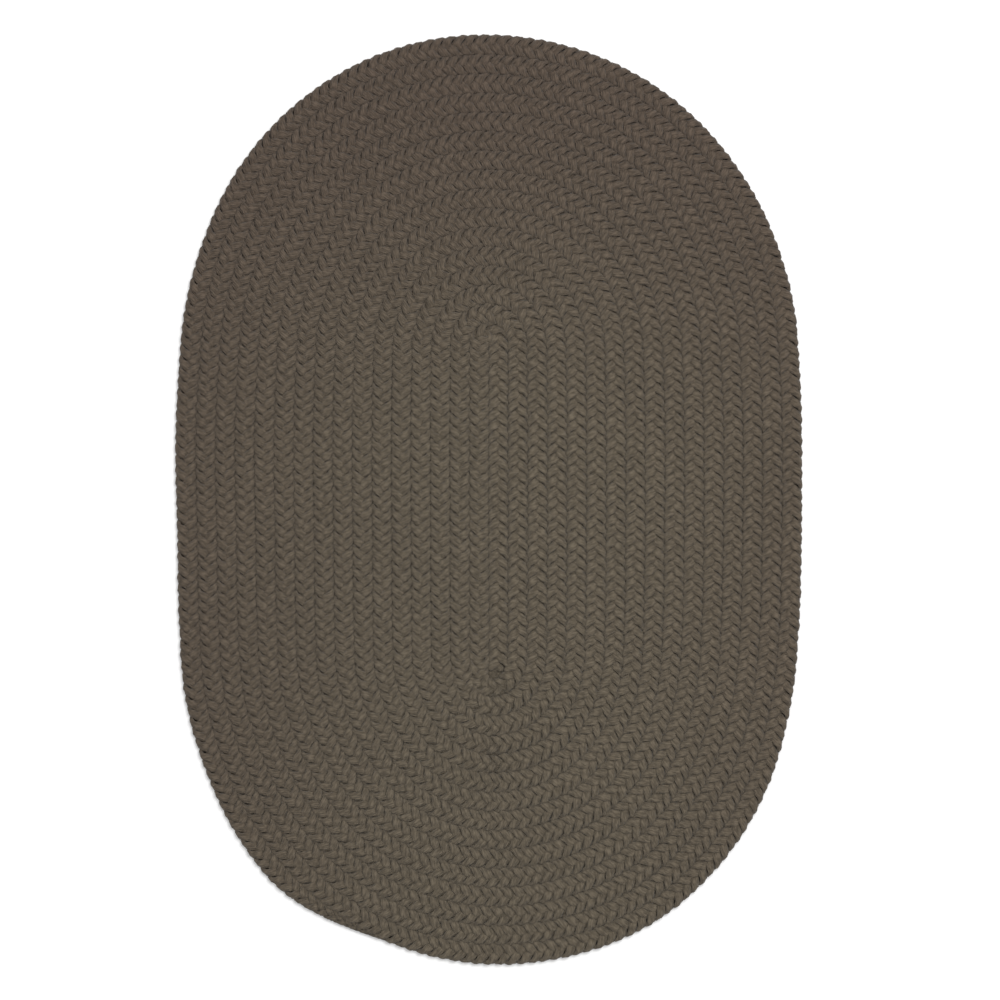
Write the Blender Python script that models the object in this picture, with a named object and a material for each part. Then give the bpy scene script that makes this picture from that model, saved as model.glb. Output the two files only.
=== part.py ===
# Oval braided rug: one long plaited braid, folded back beside itself and coiled outwards from that
# seam, laced edge to edge. It lies flat with its long axis along Y, and both faces are alike.
import math
from collections import namedtuple

import bmesh
import bpy

COLLECTION_NAME = "braided_rug"
COIL_NAME = "braided_coil"

# Driving sizes, in metres
ROW_PITCH = 0.019  # width of one laced row of braid
TURNS = 16  # rows on each side of the middle seam
SEAM_LENGTH = 0.311  # straight part of the first two rows
THICKNESS = 0.009
GROOVE_DEPTH = 0.0024  # of the valley between two rows, on each face
CREST_SHARE = 0.44  # flat part of a row's crest, as a share of the row
START_REACH = 0.0085  # how far the braid's start runs on past the end of the seam

# One turn runs up the right side, over the upper end, down the left side and round the lower end.
SIDE_STEPS = 6
END_STEPS = 25
TURN_STEPS = 2 * (SIDE_STEPS + END_STEPS)
LOWER_END = 2 * SIDE_STEPS + END_STEPS  # the step at which the lower end starts

# Round the lower end each turn moves out by one row, on a stretch that starts and ends at these
# angles from the left side, in degrees
StepOut = namedtuple("StepOut", "starts_at_deg ends_at_deg")
STEP_OUT = StepOut(16.0, 93.0)

# The braid's cut end lies in the lower end of the last turn: full width at the first of these
# steps, and tapered to a point at the second
TAIL_FROM = (TURNS - 1) * TURN_STEPS + LOWER_END + 6
TAIL_END = (TURNS - 1) * TURN_STEPS + LOWER_END + 10

# The outline's soft unevenness: the bearing from the middle of the rug, how far the rim stands
# out there (or in, below zero), and how far to each side that fades away. Every row gives its share.
Bulge = namedtuple("Bulge", "bearing_deg outward fades_over_deg")
BULGES = (
    Bulge(5, 0.0025, 39),  # right side
    Bulge(43, -0.0040, 31),  # upper right
    Bulge(70, -0.0055, 58),  # top
    Bulge(143, -0.0085, 55),  # upper left
    Bulge(165, 0.0070, 29),  # left side
    Bulge(224, -0.0075, 33),  # lower left
    Bulge(261, -0.0075, 36),  # bottom
    Bulge(305, -0.0020, 14),  # lower right
    Bulge(323, -0.0060, 21),  # lower right, beside the side
)

YARN_COLOUR = (0.102, 0.084, 0.063, 1.0)
YARN_ROUGHNESS = 0.95
SHARP_ANGLE = math.radians(85)
MERGE_DISTANCE = 0.00001


def ease(share):
    """0 to 1 with a soft start and a soft end."""
    share = min(1.0, max(0.0, share))
    return share * share * (3.0 - 2.0 * share)


def station(step):
    """Where a step starts on the seam, its outward direction, and its angle in the lower end."""
    half = SEAM_LENGTH / 2
    step = step % TURN_STEPS
    if step < SIDE_STEPS:
        return (0.0, -half + SEAM_LENGTH * step / SIDE_STEPS), (1.0, 0.0), 0.0
    if step < SIDE_STEPS + END_STEPS:
        angle = math.pi * (step - SIDE_STEPS) / END_STEPS
        return (0.0, half), (math.cos(angle), math.sin(angle)), 0.0
    if step < LOWER_END:
        done = (step - SIDE_STEPS - END_STEPS) / SIDE_STEPS
        return (0.0, half - SEAM_LENGTH * done), (-1.0, 0.0), 0.0
    angle = math.pi * (step - LOWER_END) / END_STEPS
    return (0.0, -half), (-math.cos(angle), -math.sin(angle)), math.degrees(angle)


def outer_edge(turn, angle):
    """Distance from the seam to a turn's outer edge, in rows."""
    stretch = STEP_OUT.ends_at_deg - STEP_OUT.starts_at_deg
    return turn + 1.0 + ease((angle - STEP_OUT.starts_at_deg) / stretch)


def bulge_at(x, y):
    """How far the rim stands out on the bearing of this point."""
    bearing = math.degrees(math.atan2(y, x))
    total = 0.0
    for bulge in BULGES:
        off = abs((bearing - bulge.bearing_deg + 180) % 360 - 180)
        if off < bulge.fades_over_deg:
            total += bulge.outward * (0.5 + 0.5 * math.cos(math.pi * off / bulge.fades_over_deg))
    return total


def in_plan(step, rows_out):
    """The point that lies this many rows out from the seam."""
    (seam_x, seam_y), (out_x, out_y), _ = station(step)
    rim = TURNS * ROW_PITCH
    bulge = bulge_at(seam_x + out_x * rim, seam_y + out_y * rim)
    far = rows_out * ROW_PITCH * (1 + bulge / rim)
    return seam_x + out_x * far, seam_y + out_y * far


def braid_section(step):
    """Half the braid's section at one step of the coil, as rows out and height over mid thickness.

    It runs from the inner edge over the crest's two shoulders to the outer edge.
    """
    turn = step // TURN_STEPS
    angle = station(step)[2]
    width = 1.0 - ease((step - TAIL_FROM) / (TAIL_END - TAIL_FROM))
    inner = outer_edge(turn - 1, angle)
    outer = inner + (outer_edge(turn, angle) - inner) * width
    shoulders = [inner + (outer - inner) * (0.5 + side * CREST_SHARE / 2) for side in (-1, 1)]
    groove_height = THICKNESS / 2 - GROOVE_DEPTH
    crest_height = THICKNESS / 2 * math.sqrt(width)
    inner_height = groove_height
    outer_height = groove_height
    if step + TURN_STEPS >= TAIL_END:
        outer_height = 0.0  # nothing is laced outside it: this edge is the rim
    if step == TAIL_END:
        inner_height = 0.0
    heights = (inner_height, crest_height, crest_height, outer_height)
    return list(zip((inner, *shoulders, outer), heights))


def upper_face():
    """The upper face: one long strip of braid laid round the coil, its edges joined turn to turn."""
    mesh = bmesh.new()
    columns = 3
    bmesh.ops.create_grid(mesh, x_segments=TAIL_END, y_segments=columns, size=0.5)
    sections = [braid_section(step) for step in range(TAIL_END + 1)]
    for vert in mesh.verts:
        step = round((vert.co.x + 0.5) * TAIL_END)
        column = round((vert.co.y + 0.5) * columns)
        rows_out, height = sections[step][column]
        vert.co = (*in_plan(step, rows_out), height)
    bmesh.ops.remove_doubles(mesh, verts=mesh.verts, dist=MERGE_DISTANCE)
    round_off_start(mesh)
    return mesh


def round_off_start(mesh):
    """The braid's start: its crest runs on past the seam and slopes down to the first turn."""
    eye = [
        edge
        for edge in mesh.edges
        if edge.is_boundary
        and all(math.hypot(v.co.x, v.co.y + SEAM_LENGTH / 2) < 1.5 * ROW_PITCH for v in edge.verts)
    ]
    filled = bmesh.ops.holes_fill(mesh, edges=eye, sides=0)
    (crest_end,) = bmesh.ops.poke(mesh, faces=filled["faces"])["verts"]
    crest_end.co = (ROW_PITCH / 2, -SEAM_LENGTH / 2 - START_REACH, THICKNESS / 2)


def braided_coil():
    """Both faces of the coil, joined at the rim, standing on the crests of the lower one."""
    mesh = upper_face()
    geometry = mesh.verts[:] + mesh.edges[:] + mesh.faces[:]
    bmesh.ops.mirror(mesh, geom=geometry, merge_dist=MERGE_DISTANCE, axis="Z")
    bmesh.ops.triangulate(mesh, faces=mesh.faces)
    bmesh.ops.recalc_face_normals(mesh, faces=mesh.faces)
    across = [vert.co.x for vert in mesh.verts]
    along = [vert.co.y for vert in mesh.verts]
    middle = ((min(across) + max(across)) / 2, (min(along) + max(along)) / 2)
    bmesh.ops.translate(mesh, verts=mesh.verts, vec=(-middle[0], -middle[1], THICKNESS / 2))
    return mesh


def yarn_material():
    material = bpy.data.materials.new("taupe_yarn")
    material.use_nodes = True
    shader = material.node_tree.nodes["Principled BSDF"]
    shader.inputs["Base Color"].default_value = YARN_COLOUR
    shader.inputs["Roughness"].default_value = YARN_ROUGHNESS
    shader.inputs["Metallic"].default_value = 0.0
    return material


def main():
    for thing in list(bpy.data.objects):
        bpy.data.objects.remove(thing)
    collection = bpy.data.collections.new(COLLECTION_NAME)
    bpy.context.scene.collection.children.link(collection)

    mesh = braided_coil()
    data = bpy.data.meshes.new(COIL_NAME)
    mesh.to_mesh(data)
    mesh.free()
    data.shade_smooth()
    data.set_sharp_from_angle(angle=SHARP_ANGLE)
    data.materials.append(yarn_material())
    collection.objects.link(bpy.data.objects.new(COIL_NAME, data))


main()
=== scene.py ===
import bmesh
import bpy
import numpy as np
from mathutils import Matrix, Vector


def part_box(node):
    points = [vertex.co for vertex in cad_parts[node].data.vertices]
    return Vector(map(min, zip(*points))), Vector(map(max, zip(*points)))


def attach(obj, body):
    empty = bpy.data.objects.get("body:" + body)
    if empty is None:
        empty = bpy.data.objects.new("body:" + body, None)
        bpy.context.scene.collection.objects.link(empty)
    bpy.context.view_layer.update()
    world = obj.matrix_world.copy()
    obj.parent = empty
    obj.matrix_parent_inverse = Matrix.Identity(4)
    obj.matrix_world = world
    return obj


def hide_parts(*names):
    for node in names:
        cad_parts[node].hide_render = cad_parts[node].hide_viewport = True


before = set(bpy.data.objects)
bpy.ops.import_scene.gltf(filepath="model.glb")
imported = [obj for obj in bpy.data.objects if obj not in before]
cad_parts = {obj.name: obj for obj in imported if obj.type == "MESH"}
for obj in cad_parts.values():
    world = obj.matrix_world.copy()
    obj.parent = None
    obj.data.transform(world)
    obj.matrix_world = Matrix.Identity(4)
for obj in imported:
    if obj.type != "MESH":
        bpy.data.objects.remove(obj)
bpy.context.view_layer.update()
coilLow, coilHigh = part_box("braided_coil")
print("frame loaded, the coil is", [round(v, 4) for v in coilHigh - coilLow], "m")


# The way the braid is laid. One lap runs up the right side, over the upper end, down the left side
# and round the lower end, a quarter of the count each. Laps are counted from the middle seam out.
coil = {
    "rowPitch": 0.019,
    "turns": 16,  # rows on each side of the seam
    "seamLength": 0.311,
    "thickness": coilHigh.z - coilLow.z,
    "stepOut": (16.0, 93.0),  # degrees round the lower end, from the left side
    "startReach": 0.0120,  # how far the braid's start runs on past the end of the seam
    "tailFrom": 43.2,  # the braid's cut end, in the same degrees in the last lap
    "tailEnd": 72.0,
    "rimPoints": 2000,
    "finePoints": 60000,  # along the coil, before it is laid out in even steps
    "startPoints": 40,
}
# bearing from the middle, how far the rim stands out there, how far to each side that fades
rimBulges = [
    {"bearing": 5, "outward": 0.0025, "fadesOver": 39},
    {"bearing": 43, "outward": -0.0040, "fadesOver": 31},
    {"bearing": 70, "outward": -0.0055, "fadesOver": 58},
    {"bearing": 143, "outward": -0.0085, "fadesOver": 55},
    {"bearing": 165, "outward": 0.0070, "fadesOver": 29},
    {"bearing": 224, "outward": -0.0075, "fadesOver": 33},
    {"bearing": 261, "outward": -0.0075, "fadesOver": 36},
    {"bearing": 305, "outward": -0.0020, "fadesOver": 14},
    {"bearing": 323, "outward": -0.0060, "fadesOver": 21},
]
quarterLap = 0.25
lastLap = coil["turns"] - quarterLap + quarterLap * coil["tailEnd"] / 180


def ease(share):
    share = np.clip(share, 0.0, 1.0)
    return share * share * (3.0 - 2.0 * share)


def stationAt(lap):
    # the point of the seam, the way out from it, and the degrees round the lower end
    leg, along = np.divmod(np.mod(lap, 1.0) / quarterLap, 1.0)
    half = coil["seamLength"] / 2
    side = [leg == 0, leg == 1, leg == 2]
    turned = np.select(side, [0 * along, along, 1 + 0 * along], 1 + along)
    seamY = np.select(side, [along * 2 - 1, 1 + 0 * along, 1 - along * 2], -1) * half
    lowerEnd = np.where(leg == 3, along * 180, 0.0)
    return seamY, np.cos(np.pi * turned), np.sin(np.pi * turned), lowerEnd


def outerEdge(turn, lowerEnd):
    # rows from the seam to the outer edge of a turn
    starts, ends = coil["stepOut"]
    return turn + 1 + ease((lowerEnd - starts) / (ends - starts))


def braidEdges(lap):
    # the braid's inner and outer edge, in rows, with its end cut down to a point
    turn = np.floor(lap)
    lowerEnd = stationAt(lap)[3]
    tail = ease((lowerEnd - coil["tailFrom"]) / (coil["tailEnd"] - coil["tailFrom"]))
    width = np.where(turn < coil["turns"] - 1, 1.0, 1 - tail)
    inner = outerEdge(turn - 1, lowerEnd)
    return inner, inner + width * (outerEdge(turn, lowerEnd) - inner)


def inPlan(lap, rowsOut):
    # the point on the floor that lies this many rows out from the seam
    seamY, outX, outY, _ = stationAt(lap)
    rim = coil["turns"] * coil["rowPitch"]
    bearing = np.degrees(np.arctan2(seamY + outY * rim, outX * rim))
    bulge = 0
    for one in rimBulges:
        off = np.abs((bearing - one["bearing"] + 180) % 360 - 180) / one["fadesOver"]
        bulge = bulge + one["outward"] * (0.5 + 0.5 * np.cos(np.pi * np.minimum(off, 1)))
    far = rowsOut * coil["rowPitch"] * (1 + bulge / rim)
    return np.stack([outX * far, seamY + outY * far], axis=-1)


lastTurn = np.linspace(lastLap - 1, lastLap, coil["rimPoints"])
rimLine = inPlan(lastTurn, braidEdges(lastTurn)[1])
footprintMiddle = (rimLine.min(axis=0) + rimLine.max(axis=0)) / 2
print("the outline is", np.round(np.ptp(rimLine, axis=0), 4).tolist(), "m")


def evenSteps(lap, line, step):
    # the same line in steps of equal length, with the laps and the length at each
    length = np.concatenate([[0], np.cumsum(np.linalg.norm(np.diff(line, axis=0), axis=1))])
    along = np.linspace(0, length[-1], int(length[-1] / step) + 1)
    even = np.stack([np.interp(along, length, line[:, k]) for k in (0, 1)], axis=1)
    return np.interp(along, length, lap), even, along


def unit(vectors):
    return vectors / np.linalg.norm(vectors, axis=1)[:, None]


# how evenly it is plaited and laced: metres from one change to the next, and their spread
unevenness = {
    "pull": {"every": 0.11, "spread": 0.10, "seed": 11},  # radians, on all strands at once
    "strandPull": {"every": 0.05, "spread": 0.07, "seed": 20},  # radians, on one strand
    "girth": {"every": 0.045, "spread": 0.035, "seed": 30},
    "reach": {"every": 0.06, "spread": 0.02, "seed": 40},
    "stitches": {"every": 0.04, "spread": 0.25, "seed": 61},  # radians
}


def drift(along, kind, number=0):
    # a soft random change along the braid
    uneven = unevenness[kind]
    count = int(along[-1] / uneven["every"]) + 3
    knots = np.random.default_rng(uneven["seed"] + number).normal(0, uneven["spread"], count)
    low, share = np.divmod(along / uneven["every"], 1.0)
    low = low.astype(int)
    return knots[low] * (1 - ease(share)) + knots[low + 1] * ease(share)


def show(name, mesh):
    piece = bpy.data.objects.new(name, mesh)
    bpy.context.scene.collection.objects.link(piece)
    print(name, "has", len(mesh.polygons), "faces")
    return piece


tubeWeld = 0.000001  # points of a tube that are nearer than this are one


def layOnGrid(name, rings):
    # a flat grid is rolled up, each row of its points round one ring, and closed along its edge
    count, sides = rings.shape[:2]
    shape = bmesh.new()
    shape.loops.layers.uv.new("alongPiece")
    bmesh.ops.create_grid(shape, x_segments=count - 1, y_segments=sides, size=0.5, calc_uvs=True)
    mesh = bpy.data.meshes.new(name)
    shape.to_mesh(mesh)
    shape.clear()
    flat = np.empty(len(mesh.vertices) * 3, np.float32)
    mesh.vertices.foreach_get("co", flat)
    flat = flat.reshape(-1, 3)
    ring = np.rint((flat[:, 0] + 0.5) * (count - 1)).astype(int)
    side = np.rint((flat[:, 1] + 0.5) * sides).astype(int) % sides
    mesh.vertices.foreach_set("co", rings[ring, side].astype(np.float32).ravel())
    shape.from_mesh(mesh)
    bmesh.ops.remove_doubles(shape, verts=shape.verts, dist=tubeWeld)
    bmesh.ops.recalc_face_normals(shape, faces=shape.faces)
    shape.to_mesh(mesh)
    shape.free()
    mesh.shade_smooth()
    return show(name, mesh)


def tube(line, across, through, wide, thick, sides, square):
    # rings round a line; "square" below 1 flattens their faces
    turn = 2 * np.pi * np.arange(sides) / sides
    flatCos, flatSin = (np.sign(v) * np.abs(v) ** square for v in (np.cos(turn), np.sin(turn)))
    return (
        line[:, None]
        + across[:, None] * (wide[:, None] / 2 * flatCos)[:, :, None]
        + through[:, None] * (thick[:, None] / 2 * flatSin)[:, :, None]
    )


plait = {
    "strands": ("strand_one", "strand_two", "strand_three"),
    "period": 0.032,  # a strand is back on the same side after this length
    "ringsPerPeriod": 14,
    "sides": 8,
    "square": 0.82,
    "strandWidth": 0.0096,
    "strandThickness": 0.0050,
    "sharperTurn": 0.07,  # of a strand round the braid's edges
    "lift": 0.0024,  # how far a strand rises over the braid's mid thickness, and sinks under it
    "overlap": 0.0014,  # how far two rows are pressed into each other
    "pressedTo": 0.0047,  # no strand stands further out from the mid thickness than this
    "pressKnee": 6,
    "startTaper": 0.0045,
    "startGather": 0.25,  # how far the strands are drawn together at the start
}
# places where the braid lies loose and its strands sink a little: lap, reach along it, share
looseSpots = [
    {"lap": 0.900, "reach": 0.016, "share": 0.32},
    {"lap": 3.879, "reach": 0.013, "share": 0.17},
    {"lap": 4.879, "reach": 0.013, "share": 0.30},
]


def layBraid():
    fine = np.linspace(0, lastLap, coil["finePoints"])
    line = inPlan(fine, sum(braidEdges(fine)) / 2)
    leadIn = np.linspace(coil["startReach"], 0, coil["startPoints"], endpoint=False)
    line = np.concatenate([line[0] - leadIn[:, None] * (0, 1), line]) - footprintMiddle
    fine = np.concatenate([0 * leadIn, fine])
    lap, middle, along = evenSteps(fine, line, plait["period"] / plait["ringsPerPeriod"])
    inner, outer = braidEdges(lap)
    return {
        "lap": lap,
        "middle": middle,
        "along": along,
        "tangent": unit(np.gradient(middle, axis=0)),
        "width": outer - inner,
    }


braid = layBraid()
braidLength = float(braid["along"][-1])
print("the braid is", round(braidLength, 2), "m long")


def strandRings(number):
    along, width = braid["along"], braid["width"]
    phase = 2 * np.pi * (along / plait["period"] + number / len(plait["strands"]))
    phase = phase + drift(along, "pull") + drift(along, "strandPull", number)
    girth = np.sqrt(width) * (1 + drift(along, "girth", number))
    started = np.clip(along / plait["startTaper"], 0, 1)
    girth *= np.sqrt(started)
    sink = 0 * along
    for spot in looseSpots:
        where = along[np.argmin(np.abs(braid["lap"] - spot["lap"]))]
        sink = sink + spot["share"] * (1 - ease(np.abs(along - where) / spot["reach"]))
    girth *= 1 - sink
    reach = coil["rowPitch"] / 2 + plait["overlap"] - plait["strandThickness"] / 2
    reach = reach * width * (1 + drift(along, "reach", number)) * (1 - sink / 2)
    reach *= 1 - plait["startGather"] * (1 - ease(started))
    sharper = plait["sharperTurn"]
    sideways = reach * (np.sin(phase) - sharper * np.sin(3 * phase)) / (1 + sharper)

    left = np.stack([-braid["tangent"][:, 1], braid["tangent"][:, 0]], axis=1)
    line = np.empty((len(along), 3))
    line[:, :2] = braid["middle"] - left * sideways[:, None]
    line[:, 2] = coil["thickness"] / 2 - plait["lift"] * np.sqrt(width) * np.sin(2 * phase)
    forward = unit(np.gradient(line, axis=0))
    right = unit(np.cross(forward, (0, 0, 1)))
    up = np.cross(right, forward)

    # the strand lies flat on both faces of the braid and turns over round its edges
    roll = np.pi / 2 * (1 - np.cos(phase))[:, None]
    rings = tube(
        line,
        right * np.cos(roll) + up * np.sin(roll),
        up * np.cos(roll) - right * np.sin(roll),
        girth * plait["strandWidth"],
        girth * plait["strandThickness"],
        plait["sides"],
        plait["square"],
    )

    # both faces are pressed flat by use
    height = (rings[:, :, 2] - coil["thickness"] / 2) / plait["pressedTo"]
    knee = plait["pressKnee"]
    height = height / (1 + np.abs(height) ** knee) ** (1 / knee)
    rings[:, :, 2] = coil["thickness"] / 2 + height * plait["pressedTo"]
    rings[:, :, 2] = np.maximum(rings[:, :, 2], 0.0)
    return rings


lacing = {
    "stitch": 0.012,  # length of one stitch along the groove
    "ringsPerStitch": 8,
    "sides": 4,
    "square": 1.0,
    "thread": 0.0013,
    "reach": 0.0027,  # how far it goes into the braid on each side
    "lift": 0.0022,
}


def lacingRings():
    # the thread winds round the groove between two rows, through the edges of both
    fine = np.linspace(0, lastLap - 1, coil["finePoints"])
    line = inPlan(fine, braidEdges(fine)[1]) - footprintMiddle
    lap, groove, along = evenSteps(fine, line, lacing["stitch"] / lacing["ringsPerStitch"])
    tangent = unit(np.gradient(groove, axis=0))
    left = np.stack([-tangent[:, 1], tangent[:, 0]], axis=1)
    turn = 2 * np.pi * along / lacing["stitch"] + drift(along, "stitches")
    line = np.empty((len(along), 3))
    inner, outer = braidEdges(lap + 1)
    reach = lacing["reach"] * (outer - inner)
    line[:, :2] = groove + left * (reach * np.cos(turn))[:, None]
    line[:, 2] = coil["thickness"] / 2 + lacing["lift"] * np.sin(turn)
    forward = unit(np.gradient(line, axis=0))
    right = unit(np.cross(forward, (0, 0, 1)))
    ends = np.sqrt(np.clip(np.minimum(along, along[-1] - along) / lacing["thread"], 0, 1))
    thick = lacing["thread"] * ends
    up = np.cross(right, forward)
    return tube(line, right, up, thick, thick, lacing["sides"], lacing["square"])


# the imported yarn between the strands
packed = {
    "stepsPerLap": 80,
    "columns": 2,  # from the inner groove over the row's middle to the outer groove
    "rowHeight": 0.0029,  # over the mid thickness, in the middle of a row
    "seamHeight": 0.0003,
    "eyeHeight": 0.0020,
    "eyeWithin": 0.25,  # the open edge that stays nearer to the middle than this is the eye's
    "rimInset": 0.15,  # rows
    "insetFrom": 1.30,  # laps before the end
    "insetTo": 1.05,
    "lapSlack": 0.000001,
    "weldWithin": 0.00001,
}


def packedEdge(lap):
    # like the braid's outer edge, but drawn in under the outer row
    insetFrom, insetTo = packed["insetFrom"], packed["insetTo"]
    inset = ease((lap - lastLap + insetFrom) / (insetFrom - insetTo))
    return braidEdges(lap)[1] - packed["rimInset"] * inset


def inTheEye(edge):
    return edge.is_boundary and all(vert.co.xy.length < packed["eyeWithin"] for vert in edge.verts)


def packedYarn():
    # one strip laid round the coil, joined lap to lap, then mirrored to the lower face
    steps = round(lastLap * packed["stepsPerLap"])
    columns, weld = packed["columns"], packed["weldWithin"]
    lap = np.arange(steps + 1) / packed["stepsPerLap"]
    inner, outer = packedEdge(lap - 1), packedEdge(lap)
    rows = np.stack([inner, (inner + outer) / 2, outer])
    height = np.stack([0 * lap + packed[name] for name in ("seamHeight", "rowHeight", "seamHeight")])
    height[2][lap + 1 > lastLap - packed["lapSlack"]] = 0
    height[:, -1] = 0
    shape = bmesh.new()
    bmesh.ops.create_grid(shape, x_segments=steps, y_segments=columns, size=0.5)
    for vert in shape.verts:
        step = round((vert.co.x + 0.5) * steps)
        column = round((vert.co.y + 0.5) * columns)
        x, y = inPlan(lap[step], rows[column, step]) - footprintMiddle
        vert.co = (x, y, height[column, step])
    bmesh.ops.remove_doubles(shape, verts=shape.verts, dist=weld)
    eye = [edge for edge in shape.edges if inTheEye(edge)]
    filled = bmesh.ops.holes_fill(shape, edges=eye, sides=0)
    for vert in bmesh.ops.poke(shape, faces=filled["faces"])["verts"]:
        vert.co.z = packed["eyeHeight"]
    geometry = shape.verts[:] + shape.edges[:] + shape.faces[:]
    bmesh.ops.mirror(shape, geom=geometry, merge_dist=weld, axis="Z")
    bmesh.ops.translate(shape, verts=shape.verts, vec=(0, 0, coil["thickness"] / 2))
    bmesh.ops.recalc_face_normals(shape, faces=shape.faces)
    mesh = bpy.data.meshes.new("packed_yarn")
    shape.to_mesh(mesh)
    shape.free()
    mesh.shade_smooth()
    return show("packed_yarn", mesh)


def newLook(name):
    material = bpy.data.materials.new(name)
    material.use_nodes = True
    return material, material.node_tree.nodes["Principled BSDF"]


def connect(material, value, socket):
    if isinstance(value, bpy.types.NodeSocket):
        material.node_tree.links.new(value, socket)
    else:
        socket.default_value = value


def addNode(material, kind, inputs, **settings):
    # inputs are values, or other nodes' outputs, which get linked
    node = material.node_tree.nodes.new("ShaderNode" + kind)
    for setting, value in settings.items():
        setattr(node, setting, value)
    for socket, value in inputs.items():
        connect(material, value, node.inputs[socket])
    return node


def sumOf(material, operation, *values):
    inputs = dict(enumerate(values))
    return addNode(material, "Math", inputs, operation=operation).outputs["Value"]


def mixOf(material, operation, first, **others):
    # a vector operation: "by" is a second vector, "times" a plain number
    inputs = {0: first}
    if "by" in others:
        inputs[1] = others["by"]
    if "times" in others:
        inputs["Scale"] = others["times"]
    return addNode(material, "VectorMath", inputs, operation=operation)


yarn = {
    "dark": (0.0703, 0.0567, 0.0388, 1),
    "middle": (0.0983, 0.0798, 0.0555, 1),
    "light": (0.1295, 0.1060, 0.0750, 1),
    "darkAt": 0.36,  # of the flecks' noise
    "middleAt": 0.5,
    "lightAt": 0.64,
    "fleckScale": 620,
    "fleckDetail": 4.0,
    "fleckStretch": 0.62,  # flecks and fibres are drawn out along the yarn
    "fibreScale": 1900,
    "fibreDetail": 2.0,
    "fuzz": 0.00020,
    "strandRadius": 0.0035,
    "yarnsAround": 13,  # side by side round a strand
    "strandTurn": 0.110,  # length in which they wind once round it
    "plyPitch": 0.0042,  # of the plies that are twisted into one yarn
    "ridge": 0.00042,
    "plyShare": 0.32,  # of the ridge
}
# painted shade: the first five entries darken and redden the tones towards the upper end and the
# sides; the lots are real changes of tone along each strand
dyeLotsAndPaintedShade = {
    "deeper": (0.80, 0.72, 0.75, 1),  # times the tones, at the upper end
    "lightestAt": 0.03,  # to the right of the middle
    "acrossShare": 0.84,  # how fast it deepens towards the sides
    "deepensFrom": 0.05,  # metres from there
    "deepestAt": 0.42,
    "lotLength": 0.15,  # each stretch took it a little differently
    "lotDetail": 2.0,
    "lotNoise": (0.3, 0.7),
    "lotTones": (0.95, 1.05),
}
finish = {
    "Roughness": 0.92,
    "Specular IOR Level": 0.2,
    "Sheen Weight": 0.08,
    "Sheen Roughness": 0.6,
}


def heatheredTones(material, place, shade):
    # fine flecks of three tones
    inputs = {"Vector": place, "Scale": yarn["fleckScale"], "Detail": yarn["fleckDetail"]}
    fleck = addNode(material, "TexNoise", inputs)
    tones = addNode(material, "ValToRGB", {"Fac": fleck.outputs["Fac"]})
    stops = tones.color_ramp.elements
    stops[0].position, stops[0].color = yarn["darkAt"], yarn["dark"]
    stops[1].position, stops[1].color = yarn["lightAt"], yarn["light"]
    stops.new(yarn["middleAt"]).color = yarn["middle"]
    return mixOf(material, "SCALE", tones.outputs["Color"], times=shade).outputs["Vector"]


def paintedShadeTint(material, place):
    # painted shade: the tones go over into a darker, redder tone towards the upper end and the
    # sides, as if less light fell there
    axes = addNode(material, "SeparateXYZ", {"Vector": place})
    share = dyeLotsAndPaintedShade["acrossShare"]
    across = sumOf(material, "MULTIPLY_ADD", axes.outputs["X"], share, -share * dyeLotsAndPaintedShade["lightestAt"])
    upwards = sumOf(material, "MAXIMUM", axes.outputs["Y"], 0.0)
    away = addNode(material, "CombineXYZ", {"X": across, "Y": upwards}).outputs["Vector"]
    inputs = {
        "Value": mixOf(material, "LENGTH", away).outputs["Value"],
        "From Min": dyeLotsAndPaintedShade["deepensFrom"],
        "From Max": dyeLotsAndPaintedShade["deepestAt"],
    }
    depth = addNode(material, "MapRange", inputs, interpolation_type="SMOOTHSTEP")
    inputs = {"Color1": (1, 1, 1, 1), "Color2": dyeLotsAndPaintedShade["deeper"], "Fac": depth.outputs["Result"]}
    return addNode(material, "MixRGB", inputs).outputs["Color"]


def finishYarn(material, shader, place, fleckPlace, shade, height):
    # heathered tones times the painted shade towards the upper end and the sides, a relief of this
    # height in metres, and no gloss
    tones = heatheredTones(material, fleckPlace, shade)
    paintedShadeTones = mixOf(material, "MULTIPLY", tones, by=paintedShadeTint(material, place))
    connect(material, paintedShadeTones.outputs["Vector"], shader.inputs["Base Color"])
    bump = addNode(material, "Bump", {"Strength": 1.0, "Distance": 1.0, "Height": height})
    connect(material, bump.outputs["Normal"], shader.inputs["Normal"])
    for socket, value in finish.items():
        shader.inputs[socket].default_value = value


def alongYarn(material, onPiece, pieceLength, cutAt, radius):
    # a place on the yarn, drawn out along it and closed round it
    axes = addNode(material, "SeparateXYZ", {"Vector": onPiece})
    cut = cutAt * yarn["fleckStretch"]
    long = pieceLength * yarn["fleckStretch"]
    along = sumOf(material, "MULTIPLY_ADD", axes.outputs["X"], long, cut)
    turn = sumOf(material, "MULTIPLY", axes.outputs["Y"], 2 * np.pi)
    sides = [
        sumOf(material, "MULTIPLY", sumOf(material, way, turn), radius) for way in ("COSINE", "SINE")
    ]
    inputs = {"X": along, "Y": sides[0], "Z": sides[1]}
    return addNode(material, "CombineXYZ", inputs).outputs["Vector"]


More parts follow.
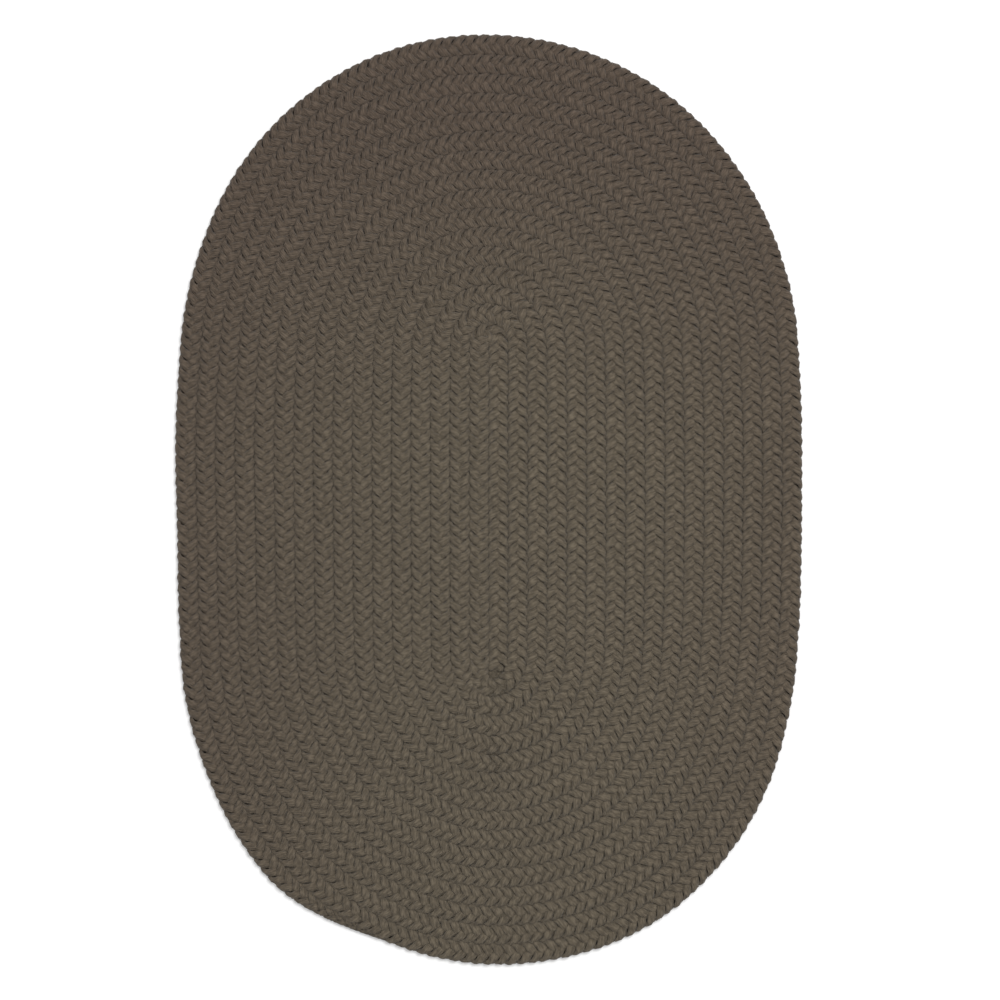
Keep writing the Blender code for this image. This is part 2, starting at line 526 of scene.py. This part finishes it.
def strandLook(name, pieceLength, cutAt):
    material, shader = newLook(name)
    place = addNode(material, "TexCoord", {}).outputs["Object"]
    onPiece = addNode(material, "UVMap", {}, uv_map="alongPiece").outputs["UV"]
    onYarn = alongYarn(material, onPiece, pieceLength, cutAt, yarn["strandRadius"])

    # the dye lots
    perLot = 1 / (dyeLotsAndPaintedShade["lotLength"] * yarn["fleckStretch"])
    inputs = {"Vector": onYarn, "Scale": perLot, "Detail": dyeLotsAndPaintedShade["lotDetail"]}
    lots = addNode(material, "TexNoise", inputs)
    low, high = dyeLotsAndPaintedShade["lotNoise"]
    inputs = {"Value": lots.outputs["Fac"], "From Min": low, "From Max": high}
    low, high = dyeLotsAndPaintedShade["lotTones"]
    lot = addNode(material, "MapRange", {**inputs, "To Min": low, "To Max": high})

    # yarns side by side, each twisted from plies, with loose fibres
    winds = pieceLength / yarn["strandTurn"]
    across = (np.pi * winds, np.pi * yarn["yarnsAround"], 0)
    yarnAngle = mixOf(material, "DOT_PRODUCT", onPiece, by=across).outputs["Value"]
    ridges = sumOf(material, "ABSOLUTE", sumOf(material, "SINE", yarnAngle))
    plyTurns = (2 * np.pi * pieceLength / yarn["plyPitch"], 2 * np.pi * yarn["yarnsAround"], 0)
    plyAngle = mixOf(material, "DOT_PRODUCT", onPiece, by=plyTurns).outputs["Value"]
    plies = sumOf(material, "SINE", plyAngle)
    relief = sumOf(material, "MULTIPLY_ADD", plies, yarn["plyShare"], ridges)
    inputs = {"Vector": onYarn, "Scale": yarn["fibreScale"], "Detail": yarn["fibreDetail"]}
    fibre = addNode(material, "TexNoise", inputs)
    fuzz = sumOf(material, "MULTIPLY", fibre.outputs["Fac"], yarn["fuzz"])
    height = sumOf(material, "MULTIPLY_ADD", relief, yarn["ridge"], fuzz)
    finishYarn(material, shader, place, onYarn, lot.outputs["Result"], height)
    return material


twine = {
    "plies": 3,
    "turn": 0.004,
    "shade": 0.95,
    "ridge": 0.00025,
}


def twineLook(pieceLength):
    material, shader = newLook("lacing_twine")
    place = addNode(material, "TexCoord", {}).outputs["Object"]
    onPiece = addNode(material, "UVMap", {}, uv_map="alongPiece").outputs["UV"]
    onTwine = alongYarn(material, onPiece, pieceLength, 0, lacing["thread"] / 2)
    turns = (np.pi * pieceLength / twine["turn"], np.pi * twine["plies"], 0)
    angle = mixOf(material, "DOT_PRODUCT", onPiece, by=turns).outputs["Value"]
    plies = sumOf(material, "ABSOLUTE", sumOf(material, "SINE", angle))
    height = sumOf(material, "MULTIPLY", plies, twine["ridge"])
    finishYarn(material, shader, place, onTwine, twine["shade"], height)
    return material


matted = {
    # painted shade: the packed yarn's tones, as a share of the strands' tones
    "shade": 0.85,
    "waveScale": 230,
    "waveDetail": 3.0,
    "tangle": 7.0,
    "ridge": 0.0007,
}


def packedLook():
    # the same yarn, matted, with painted shade: its tones are darkened as if in the shade of the
    # strands
    material, shader = newLook("packed_yarn")
    place = addNode(material, "TexCoord", {}).outputs["Object"]
    inputs = {
        "Vector": place,
        "Scale": matted["waveScale"],
        "Distortion": matted["tangle"],
        "Detail": matted["waveDetail"],
    }
    tangle = addNode(material, "TexWave", inputs, bands_direction="DIAGONAL")
    height = sumOf(material, "MULTIPLY", tangle.outputs["Fac"], matted["ridge"])
    # the matted shade is painted shade that darkens the packed yarn's tones
    finishYarn(material, shader, place, place, matted["shade"], height)
    return material


def dress(piece, material):
    piece.data.materials.append(material)
    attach(piece, "root")
    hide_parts("braided_coil")


strands = []
for number, name in enumerate(plait["strands"]):
    strands.append(layOnGrid(name, strandRings(number)))
    dress(strands[-1], strandLook("heathered_yarn_" + name, braidLength, number * braidLength))
lacingThread = layOnGrid("lacing_thread", lacingRings())
dress(lacingThread, twineLook(braidLength))
packedBody = packedYarn()
dress(packedBody, packedLook())
print("the rug is dressed")


studio = {
    "metresPerPixel": 0.0009777,
    "rugAtPixel": (488.8, 499.4),
    "imageSide": 1000,
    "lens": 100,
    "sensor": 36,
    "floorBelow": 0.0004,
    "floorHalf": 6,
    "floorShades": (0.93, 0.95),
    "floorGrain": 30.0,
    "floorGrainDetail": 2.0,
    "floorRoughness": 0.9,
    "worldStrength": 0.78,
    "lampPower": 78,
    "lampSize": 1.8,
    "lampAt": (0.80, 1.1, 3.3),
}


def makeFloor():
    shape = bmesh.new()
    bmesh.ops.create_grid(shape, x_segments=1, y_segments=1, size=studio["floorHalf"])
    bmesh.ops.translate(shape, verts=shape.verts, vec=(0, 0, -studio["floorBelow"]))
    mesh = bpy.data.meshes.new("floor")
    shape.to_mesh(mesh)
    shape.free()
    material, shader = newLook("pale_floor")
    place = addNode(material, "TexCoord", {}).outputs["Object"]
    inputs = {"Vector": place, "Scale": studio["floorGrain"], "Detail": studio["floorGrainDetail"]}
    grain = addNode(material, "TexNoise", inputs)
    tones = addNode(material, "ValToRGB", {"Fac": grain.outputs["Fac"]})
    for stop, shade in zip(tones.color_ramp.elements, studio["floorShades"]):
        stop.color = (shade, shade, shade, 1)
    connect(material, tones.outputs["Color"], shader.inputs["Base Color"])
    shader.inputs["Roughness"].default_value = studio["floorRoughness"]
    mesh.materials.append(material)
    floor = show("floor", mesh)
    return floor


def makeLights():
    world = bpy.data.worlds.new("soft_room")
    world.use_nodes = True
    background = world.node_tree.nodes["Background"]
    background.inputs["Color"].default_value = (1, 1, 1, 1)
    background.inputs["Strength"].default_value = studio["worldStrength"]
    bpy.context.scene.world = world
    light = bpy.data.lights.new("softbox", "AREA")
    light.shape = "DISK"
    light.size = studio["lampSize"]
    light.energy = studio["lampPower"]
    lamp = bpy.data.objects.new("softbox", light)
    lamp.location = studio["lampAt"]
    lamp.rotation_euler = (-lamp.location).to_track_quat("-Z", "Y").to_euler()
    bpy.context.scene.collection.objects.link(lamp)


def makeCamera():
    camera = bpy.data.objects.new("camera", bpy.data.cameras.new("camera"))
    camera.data.lens = studio["lens"]
    camera.data.sensor_width = studio["sensor"]
    wide = studio["imageSide"] * studio["metresPerPixel"]
    right, down = (pixel - studio["imageSide"] / 2 for pixel in studio["rugAtPixel"])
    camera.location = (
        -right * studio["metresPerPixel"],
        down * studio["metresPerPixel"],
        coil["thickness"] + wide * studio["lens"] / studio["sensor"],
    )
    bpy.context.scene.collection.objects.link(camera)
    bpy.context.scene.camera = camera


floor = makeFloor()
makeLights()
makeCamera()
bpy.context.scene.view_settings.view_transform = "Standard"
print("studio set")
